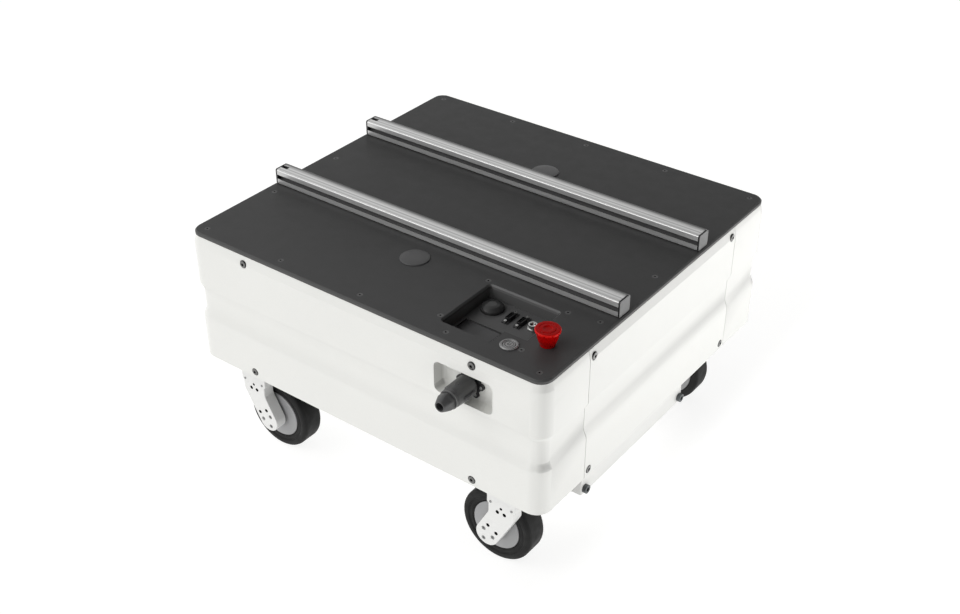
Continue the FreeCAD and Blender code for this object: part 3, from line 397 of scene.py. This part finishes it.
# five dark screw holes in each arm, bright screws in the others; the hole walls and the screws inside are painted black
# as shade
for k, (mx, my) in {"front_left": (-1, -1), "front_right": (1, -1), "rear_left": (-1, 1), "rear_right": (1, 1)}.items():
    spots = [(CX + mx * (0.280 - a), z, r) for a, z, r in ((-0.007, 0.131, 0.0035), (0.007, 0.131, 0.0035), (0.0, 0.1406, 0.0026), (0.0093, 0.0822, 0.0035), (0.026, 0.0918, 0.0035))]

    def dark(q, spots=spots):
        return any(math.hypot(q.x - x, q.z - DECK + 0.448 - z) < r + 0.00005 for x, z, r in spots)

    on_faces("arm_screws_" + k, "black_screw_and_socket_shade", dark)
    on_faces("arm_screws_" + k, "arm_screw", lambda q, dark=dark: not dark(q))
    on_faces("drive_arm_" + k, "black_screw_and_socket_shade", dark)
# painted highlight: the back wall and edge of the tray opening take a lighter grey
on_faces("deck_plate", "deck_highlight", lambda q: abs(q.y - CY + 0.1804) < 0.0002 and 0.1 < q.x - CX < 0.3 and q.z < DECK - 0.0024)
on_faces("deck_plate", "deck_highlight", lambda q: -0.1804 < q.y - CY < -0.1779 and 0.14 < q.x - CX < 0.29 and q.z < DECK - 0.0004)

# ------------------------------------------------------------------ detailed pieces
def fillet(pts, rad, steps=4):
    """rounds the corners of an open polyline"""
    out = [Vector(pts[0]).to_2d()]
    for i in range(1, len(pts) - 1):
        p0, p, p1 = (Vector(q).to_2d() for q in (pts[i - 1], pts[i], pts[i + 1]))
        a, b = p0 - p, p1 - p
        la, lb = a.length, b.length
        if la < 1e-9 or lb < 1e-9:
            continue
        a, b = a / la, b / lb
        ang = a.angle(b)
        if ang > math.radians(172):
            out.append(p)
            continue
        t = min(rad / math.tan(ang / 2), 0.45 * la, 0.45 * lb)
        r = t * math.tan(ang / 2)
        c = p + (a + b).normalized() * (r / math.sin(ang / 2))
        s, e = p + a * t, p + b * t
        v0, v1 = s - c, e - c
        tot = v0.angle_signed(v1)
        for k in range(steps + 1):
            th = -tot * k / steps
            out.append(c + Vector((v0.x * math.cos(th) - v0.y * math.sin(th), v0.x * math.sin(th) + v0.y * math.cos(th))))
    out.append(Vector(pts[-1]).to_2d())
    return out


def new_obj(name, bm, mats, smooth=True):
    me = bpy.data.meshes.new(name)
    bmesh.ops.recalc_face_normals(bm, faces=bm.faces)
    bm.to_mesh(me)
    bm.free()
    if smooth:
        me.polygons.foreach_set("use_smooth", [True] * len(me.polygons))
    o = bpy.data.objects.new(name, me)
    scene.collection.objects.link(o)
    for m in (mats if isinstance(mats, (list, tuple)) else [mats]):
        me.materials.append(m)
    return o


def lathe_bm(bm, prof, org, axis, ref, seg=96, mod=None, rad=0.3, closed=False, mat=0):
    """prof: (radius, along) in mm; org in metres"""
    axis, ref = Vector(axis).normalized(), Vector(ref).normalized()
    side = axis.cross(ref)
    pts = fillet(prof, rad) if rad else [Vector(p).to_2d() for p in prof]
    rings = []
    for q in pts:
        r, a = q.x, q.y
        if r < 1e-4:
            rings.append([bm.verts.new(Vector(org) + axis * (a / 1000))])
            continue
        ring = []
        for k in range(seg):
            th = 2 * math.pi * k / seg
            rr = mod(r, a, th) if mod else r
            ring.append(bm.verts.new(Vector(org) + axis * (a / 1000) + (ref * math.cos(th) + side * math.sin(th)) * (rr / 1000)))
        rings.append(ring)
    pairs = list(zip(rings, rings[1:])) + ([(rings[-1], rings[0])] if closed else [])
    for A, B in pairs:
        if len(A) == 1 and len(B) == 1:
            continue
        for k in range(seg):
            k2 = (k + 1) % seg
            if len(A) == 1:
                f = bm.faces.new((A[0], B[k], B[k2]))
            elif len(B) == 1:
                f = bm.faces.new((A[k], B[0], A[k2]))
            else:
                f = bm.faces.new((A[k], B[k], B[k2], A[k2]))
            f.material_index = mat


def rbox_bm(bm, lo, hi, r, seg=3, mat=0, org=None, rot=None):
    """bevelled block between two corners in metres"""
    res = bmesh.ops.create_cube(bm, size=1.0)
    vs = res["verts"]
    lo, hi = Vector(lo), Vector(hi)
    for v in vs:
        v.co = Vector(((lo.x + hi.x) / 2 + v.co.x * (hi.x - lo.x), (lo.y + hi.y) / 2 + v.co.y * (hi.y - lo.y), (lo.z + hi.z) / 2 + v.co.z * (hi.z - lo.z)))
    es = list({e for v in vs for e in v.link_edges})
    fs = list({f for v in vs for f in v.link_faces})
    for f in fs:
        f.material_index = mat
    out = bmesh.ops.bevel(bm, geom=vs + es + fs, offset=r, segments=seg, profile=0.5, affect="EDGES", clamp_overlap=True)
    allv = set(out["verts"]) | {v for v in vs if v.is_valid}
    for f in out["faces"]:
        f.material_index = mat
    if rot is not None:
        bmesh.ops.rotate(bm, cent=org, matrix=rot, verts=list(allv))
    return list(allv)


def sharp(o, angle=38.0, bevel=0.0, seg=2):
    if bevel:
        b = o.modifiers.new("edge_round", "BEVEL")
        b.width, b.segments, b.limit_method, b.angle_limit = bevel, seg, "ANGLE", math.radians(angle)
        b.harden_normals = True
    else:
        e = o.modifiers.new("sharp", "EDGE_SPLIT")
        e.split_angle = math.radians(angle)
    return o


def mid(node):
    a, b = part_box(node)
    return [(a[i] + b[i]) / 2 for i in range(3)]


X, Y, Z = (1, 0, 0), (0, 1, 0), (0, 0, 1)
NY = (0, -1, 0)

# emergency stop: mushroom head with a scalloped rim on a tapered body
e_mid = mid("estop_collar")
E = (e_mid[0], e_mid[1], DECK)


def scallop(r, a, th):
    if r < 18.4 or a > 28.2:
        return r
    k = max(0.0, math.cos(10 * th)) ** 6
    return r - 2.1 * k * min(1.0, (r - 18.4) / 1.2) * min(1.0, (28.2 - a) / 1.6)


bm = bmesh.new()
lathe_bm(bm, [(0, 9.9), (12.5, 9.9), (12.5, 4.6), (13.1, 4.5), (14.8, 8.2), (16.8, 14.0), (17.75, 20.0), (18.15, 24.7), (19.3, 24.7), (20.38, 25.6), (20.38, 28.6), (19.3, 29.6),
              (14.2, 29.75), (13.6, 29.2), (12.9, 29.2), (12.3, 29.85), (7.6, 29.95), (6.9, 29.3), (6.1, 29.2), (5.6, 28.7), (0, 28.6)], E, Z, X, 240, scallop, 0.4)
lathe_bm(bm, [(0, 9.9), (6.9, 9.9), (6.9, -10.0), (0, -10.0)], E, Z, X, 48, None, 0.4)
# painted highlight: the outer rim faces take the lighter red
for f in bm.faces:
    c = f.calc_center_median()
    if c.z < DECK + 0.0242:
        f.material_index = 1
    elif math.hypot(c.x - E[0], c.y - E[1]) > 0.0194 and c.z > DECK + 0.0255:
        f.material_index = 2
es = new_obj("estop_head", bm, [M["red"], M["red_body"], M["red_rim"]])
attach(es, "estop_head")
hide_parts("estop_button")

bm = bmesh.new()
lathe_bm(bm, [(7.25, -20), (7.25, 4.9), (12.1, 4.9), (12.2, 0.0), (11.0, 0.0), (11.0, -7.0), (14.0, -7.0), (14.0, -43.9), (0, -43.9)], E, Z, X, 96, None, 0.35)
for f in bm.faces:
    if f.calc_center_median().z > DECK + 0.0001:
        f.material_index = 1
o = new_obj("estop_socket", bm, [M["black"], M["red_body"]])
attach(o, "chassis")
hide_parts("estop_collar")

# antenna dome
a_lo, a_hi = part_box("antenna_dome")
A = ((a_lo[0] + a_hi[0]) / 2, (a_lo[1] + a_hi[1]) / 2, a_lo[2] + 0.013)
bm = bmesh.new()
lathe_bm(bm, [(0, -12.9), (4.0, -12.9), (4.0, 0.0), (19.4, 0.0), (19.9, 0.8), (19.9, 3.8), (19.2, 5.4), (16.8, 7.4), (12.6, 9.2), (7.5, 10.1), (0, 10.35)], A, Z, X, 128, None, 1.2)
o = new_obj("antenna_puck", bm, M["gloss_black"])
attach(o, "chassis")
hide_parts("antenna_dome")

# power button: ring, cap and power mark
p_mid = mid("power_button_bezel")
P = (p_mid[0], p_mid[1], DECK)
bm = bmesh.new()
lathe_bm(bm, [(10.35, -30), (10.35, 1.8), (10.8, 2.5), (13.4, 2.6), (14.7, 1.3), (14.7, 0), (12.0, 0), (12.0, -37.9), (0, -37.9)], P, Z, X, 128, None, 0.35)
# painted highlight: a thin pale ring on the rounded outer edge of the bezel
lathe_bm(bm, [(14.0, 1.7), (14.2, 2.1), (14.6, 1.75), (14.74, 1.2)], P, Z, X, 128, None, 0.05, mat=1)
o = new_obj("power_ring", bm, [M["button"], M["mark"]])
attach(o, "chassis")
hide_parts("power_button_bezel")
bm = bmesh.new()
lathe_bm(bm, [(0, -15.9), (6, -15.9), (6, -6), (9.95, -6), (9.95, 1.6), (9.3, 2.15), (8.0, 2.15), (7.8, 1.95), (0, 1.95)], P, Z, X, 128, None, 0.3)
o = new_obj("power_cap_face", bm, M["button_face"])
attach(o, "power_cap")
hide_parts("power_button_cap")
bm = bmesh.new()
seg = 40
inner, outer, top = [], [], 2.19
ring = []
for k in range(seg + 1):
    th = math.radians(90 + 34 + (360 - 68) * k / seg)
    ring.append([Vector(P) + Vector((math.cos(th) * r, math.sin(th) * r, z)) / 1000 for r, z in ((4.1, 1.9), (4.1, top), (5.2, top), (5.2, 1.9))])
rv = [[bm.verts.new(v) for v in q] for q in ring]
for a, b in zip(rv, rv[1:]):
    for i in range(4):
        bm.faces.new((a[i], a[(i + 1) % 4], b[(i + 1) % 4], b[i]))
bm.faces.new(rv[0])
bm.faces.new(rv[-1][::-1])
rbox_bm(bm, (P[0] - 0.00058, P[1] + 0.0008, P[2] + 0.0019), (P[0] + 0.00058, P[1] + 0.0060, P[2] + top / 1000), 0.0001)
lathe_bm(bm, [(8.3, 1.9), (8.5, 2.19), (9.1, 2.19), (9.3, 1.9)], P, Z, X, 96, None, 0.05)
o = new_obj("power_mark", bm, M["mark"], False)
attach(o, "power_cap")

# deck caps
for k, sy in enumerate((-1, 1)):
    c = (CX, CY + sy * 0.1905, DECK)
    bm = bmesh.new()
    lathe_bm(bm, [(0, -1.0), (19.5, -1.0), (19.5, -6.9), (21.8, -6.9), (21.8, 0.02), (25.9, 0.02), (26.0, 0.8), (25.0, 1.6), (21.0, 2.1), (12.0, 2.5), (0, 2.6)], c, Z, X, 160, None, 0.6)
    o = new_obj("deck_cap_%d" % (k + 1), bm, M["deck_cap"])
    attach(o, "chassis")
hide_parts("deck_caps")

# wheels
TY = [(46.05, -17.3), (54.2, -17.3), (54.4, -20.4), (55.3, -21.3), (58.5, -21.95), (63.6, -21.95), (67.2, -20.5), (69.2, -18.2), (69.95, -15.4), (69.95, 15.4), (69.2, 18.2), (67.2, 20.5),
      (63.6, 21.95), (59.4, 21.95), (57.7, 21.3), (57.0, 20.0), (54.8, 19.7), (53.2, 20.4), (50.2, 20.4), (49.0, 19.0), (46.05, 18.6)]
HUB = [(0, -14.0), (7.5, -14.0), (7.9, -13.2), (11.8, -13.2), (12.2, -14.0), (15.6, -14.2), (17.0, -17.5), (43.6, -17.5), (47.2, -21.3), (53.9, -21.3), (53.9, -17.7), (46.0, -17.7)]
HUB2 = [(46.0, 18.0), (46.0, 19.9), (45.2, 20.65), (26.0, 20.65), (24.6, 20.2), (9.0, 20.2), (8.0, 20.7), (7.95, 35.3), (0, 35.3)]
for name in ("front_left", "front_right", "rear_left", "rear_right"):
    lo_, hi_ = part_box("tyre_" + name)
    c = [(lo_[i] + hi_[i]) / 2 for i in range(3)]
    v = -1 if c[1] < CY else 1
    bm = bmesh.new()
    lathe_bm(bm, TY, c, (0, v, 0), Z, 192, None, 0.8, True)
    o = new_obj("wheel_tyre_" + name, bm, M["tyre"])
    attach(o, "wheel_" + name)
    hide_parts("tyre_" + name)
    bm = bmesh.new()
    lathe_bm(bm, HUB, c, (0, v, 0), Z, 160, None, 0.5)
    lathe_bm(bm, HUB2, c, (0, v, 0), Z, 160, None, 0.5)
    for k in range(6):
        th = math.radians(60 * k + 30)
        q = (c[0] + 0.030 * math.cos(th), c[1] - v * 0.0175, c[2] + 0.030 * math.sin(th))
        lathe_bm(bm, [(0, 1.6), (2.0, 1.6), (2.0, 1.0), (3.4, 1.0), (3.4, -0.3)], q, (0, -v, 0), Z, 24, None, 0.2, mat=1)
    o = new_obj("wheel_disc_" + name, bm, [M["hub"], M["zinc"]])
    sharp(o, 50)
    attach(o, "wheel_" + name)
    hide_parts("wheel_hub_" + name)

# charging plug, its gland nut and the flanged socket
r_lo, r_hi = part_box("charge_plug")
n_lo, n_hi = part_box("plug_gland_nut")
cx, cz = (n_lo[0] + n_hi[0]) / 2, (n_lo[2] + n_hi[2]) / 2
y0 = n_hi[1] + 0.0524
PL = (cx, y0, cz)
bm = bmesh.new()


def ribs(r, a, th):
    """fine grip flutes on the tapered part"""
    if 30 < a < 50:
        return r - 0.25 * (0.5 + 0.5 * math.cos(36 * th)) * min(1.0, (a - 30) / 3, (50 - a) / 2)
    return r


lathe_bm(bm, [(7.4, 10.0), (0, 10.0)], PL, NY, X, 64, None, 0)
lathe_bm(bm, [(7.35, 10.0), (7.35, 51.9), (15.8, 52.2), (16.5, 51.4), (16.7, 47.6), (16.0, 46.6), (16.0, 45.6), (17.0, 44.6), (18.0, 32.0), (18.5, 22.0), (18.5, 5.0), (18.0, 4.0), (17.0, 3.2), (16.6, 0.2), (13.2, 0.1), (13.2, -11.0), (7.4, -11.0), (0, -10.8)], PL, NY, X, 128, None, 0.6)
for s in (-1, 1):
    x0, x1 = sorted((cx + s * 0.0170, cx + s * 0.0217))
    rbox_bm(bm, (x0, y0 - 0.034, cz - 0.0034), (x1, y0 - 0.011, cz + 0.0034), 0.0011)
lathe_bm(bm, [(0, 18.9), (1.5, 18.9), (1.9, 18.6), (2.4, 19.1), (3.3, 19.0), (3.6, 16.6)], (cx, y0 - 0.0305, cz), Z, X, 32, None, 0.1)
# painted highlight: a lighter grey ring on the front rim of the barrel
lathe_bm(bm, [(16.1, 51.6), (16.62, 51.2), (16.75, 50.4), (16.6, 49.9)], PL, NY, X, 128, None, 0.15, mat=1)
o = new_obj("plug_barrel", bm, [M["black_plug"], M["plug_rim"]])
sharp(o, 45)
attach(o, "charge_lead")
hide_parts("charge_plug")


def facets(r, a, th):
    """six soft spanner flats"""
    if r < 8.0:
        return r
    t = (th + math.pi / 6) % (math.pi / 3) - math.pi / 6
    return min(r, (13.7 - 0.30 * max(0.0, a - 8.0)) / math.cos(t))


bm = bmesh.new()
lathe_bm(bm, [(6.95, 0.2), (15.0, 0.2), (15.0, 8.0), (13.8, 10.5), (12.0, 15.0), (10.2, 18.6), (9.0, 20.7), (7.9, 20.95), (6.95, 20.2)], (cx, n_hi[1], cz), NY, X, 144, facets, 0.6, True)
o = new_obj("gland_nut", bm, M["black_plug"])
sharp(o, 40)
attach(o, "charge_lead")
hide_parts("plug_gland_nut")

# ------------------------------------------------------------------ floor, light, camera
def plane(name, size, z, mat):
    me = bpy.data.meshes.new(name)
    bm = bmesh.new()
    bmesh.ops.create_grid(bm, x_segments=8, y_segments=8, size=size)
    bm.to_mesh(me)
    bm.free()
    o = bpy.data.objects.new(name, me)
    o.location = (0, 0, z)
    scene.collection.objects.link(o)
    me.materials.append(mat)
    return o


M["floor"] = paint("studio_floor", (0.30, 0.30, 0.299), 0.75, 0.006, 60.0, 0.00002, spec=0.1)
fl = M["floor"].node_tree
fb = fl.nodes["Principled BSDF"]
fc = fl.nodes.new("ShaderNodeTexCoord")
fs = fl.nodes.new("ShaderNodeSeparateXYZ")
fl.links.new(fc.outputs["Object"], fs.inputs[0])


def floor_ramp(out, a, b):
    r = fl.nodes.new("ShaderNodeMapRange")
    r.interpolation_type = "SMOOTHSTEP"
    r.inputs["From Min"].default_value = a
    r.inputs["From Max"].default_value = b
    fl.links.new(out, r.inputs["Value"])
    return r.outputs["Result"]


# the floor glows: an even emission keeps it white, and a brighter glowing patch right of the body stands in for a pool
# of light and lights the right side from below
fr = fl.nodes.new("ShaderNodeMath")
fr.operation = "MULTIPLY"
fl.links.new(floor_ramp(fs.outputs[0], 0.33, 0.74), fr.inputs[0])
fl.links.new(floor_ramp(fs.outputs[1], -1.10, 0.20), fr.inputs[1])
fm = fl.nodes.new("ShaderNodeMath")
fm.operation = "MULTIPLY_ADD"
fm.inputs[1].default_value = 1.15
fm.inputs[2].default_value = 0.86
fl.links.new(fr.outputs[0], fm.inputs[0])
fb.inputs["Emission Color"].default_value = (1.0, 1.0, 0.995, 1.0)
fl.links.new(fm.outputs[0], fb.inputs["Emission Strength"])
plane("floor", 60.0, 0.0, M["floor"])

world = bpy.data.worlds.new("studio")
scene.world = world
world.use_nodes = True
wt = world.node_tree
wc = wt.nodes.new("ShaderNodeTexCoord")


def lobe(direction, lo, hi, depth, high):
    """soft darker patch of the studio around a direction"""
    d = Vector(direction).normalized()
    dot = wt.nodes.new("ShaderNodeVectorMath")
    dot.operation = "DOT_PRODUCT"
    dot.inputs[1].default_value = d
    wt.links.new(wc.outputs["Generated"], dot.inputs[0])
    r = wt.nodes.new("ShaderNodeMapRange")
    r.interpolation_type = "SMOOTHSTEP"
    for k, v in (("From Min", lo), ("From Max", hi), ("To Min", 0.0), ("To Max", depth)):
        r.inputs[k].default_value = v
    wt.links.new(dot.outputs["Value"], r.inputs["Value"])
    if not high:
        return r.outputs["Result"]
    el = wt.nodes.new("ShaderNodeSeparateXYZ")               # keeps the horizon bright
    wt.links.new(wc.outputs["Generated"], el.inputs[0])
    up = wt.nodes.new("ShaderNodeMapRange")
    up.interpolation_type = "SMOOTHSTEP"
    up.inputs["From Min"].default_value = 0.08
    up.inputs["From Max"].default_value = 0.34
    wt.links.new(el.outputs[2], up.inputs["Value"])
    pr = wt.nodes.new("ShaderNodeMath")
    pr.operation = "MULTIPLY"
    wt.links.new(r.outputs["Result"], pr.inputs[0])
    wt.links.new(up.outputs["Result"], pr.inputs[1])
    return pr.outputs[0]


val = None
for args in (((-0.5, 0.67, 0.55), 0.45, 0.95, 0.28, True), ((0.80, 0.12, 0.6), 0.05, 0.60, 1.0, True), ((0.70, -0.70, 0.10), 0.65, 1.0, 0.30, False), ((-0.30, -0.70, 0.62), 0.25, 0.95, -0.34, True)):
    x = wt.nodes.new("ShaderNodeMath")
    x.operation = "SUBTRACT"
    if val is None:
        x.inputs[0].default_value = 1.035
    else:
        wt.links.new(val, x.inputs[0])
    wt.links.new(lobe(*args), x.inputs[1])
    val = x.outputs[0]
wt.nodes["Background"].inputs["Color"].default_value = (1.0, 1.0, 1.0, 1.0)
wt.links.new(val, wt.nodes["Background"].inputs["Strength"])


def area(name, loc, target, size, power, size_y=None):
    l = bpy.data.lights.new(name, "AREA")
    l.shape = "RECTANGLE"
    l.size = size
    l.size_y = size_y or size
    l.energy = power
    o = bpy.data.objects.new(name, l)
    o.location = loc
    o.rotation_mode = "QUATERNION"
    o.rotation_quaternion = (Vector(target) - Vector(loc)).to_track_quat("-Z", "Y")
    scene.collection.objects.link(o)
    return o


area("key", (-1.6, -2.2, 2.4), (0, -0.2, 0.3), 1.6, 10.0)
area("side", (2.3, 1.9, 0.22), (0.37, 0.25, 0.3), 1.2, 4.8, 0.4)

cam = bpy.data.cameras.new("camera")
cam.lens, cam.sensor_width = 50.0, 36.0
cam_o = bpy.data.objects.new("camera", cam)
scene.collection.objects.link(cam_o)
scene.camera = cam_o
az, el = math.radians(36.917), math.radians(33.591)
fwd = Vector((-math.sin(az) * math.cos(el), math.cos(az) * math.cos(el), -math.sin(el)))
cam_o.location = (CX + 1.2250, CY - 1.6410, DECK - 0.007 + 1.1679)
cam_o.rotation_mode = "QUATERNION"
cam_o.rotation_quaternion = fwd.to_track_quat("-Z", "Y")
cam.clip_end = 60.0
scene.view_settings.view_transform = "Standard"
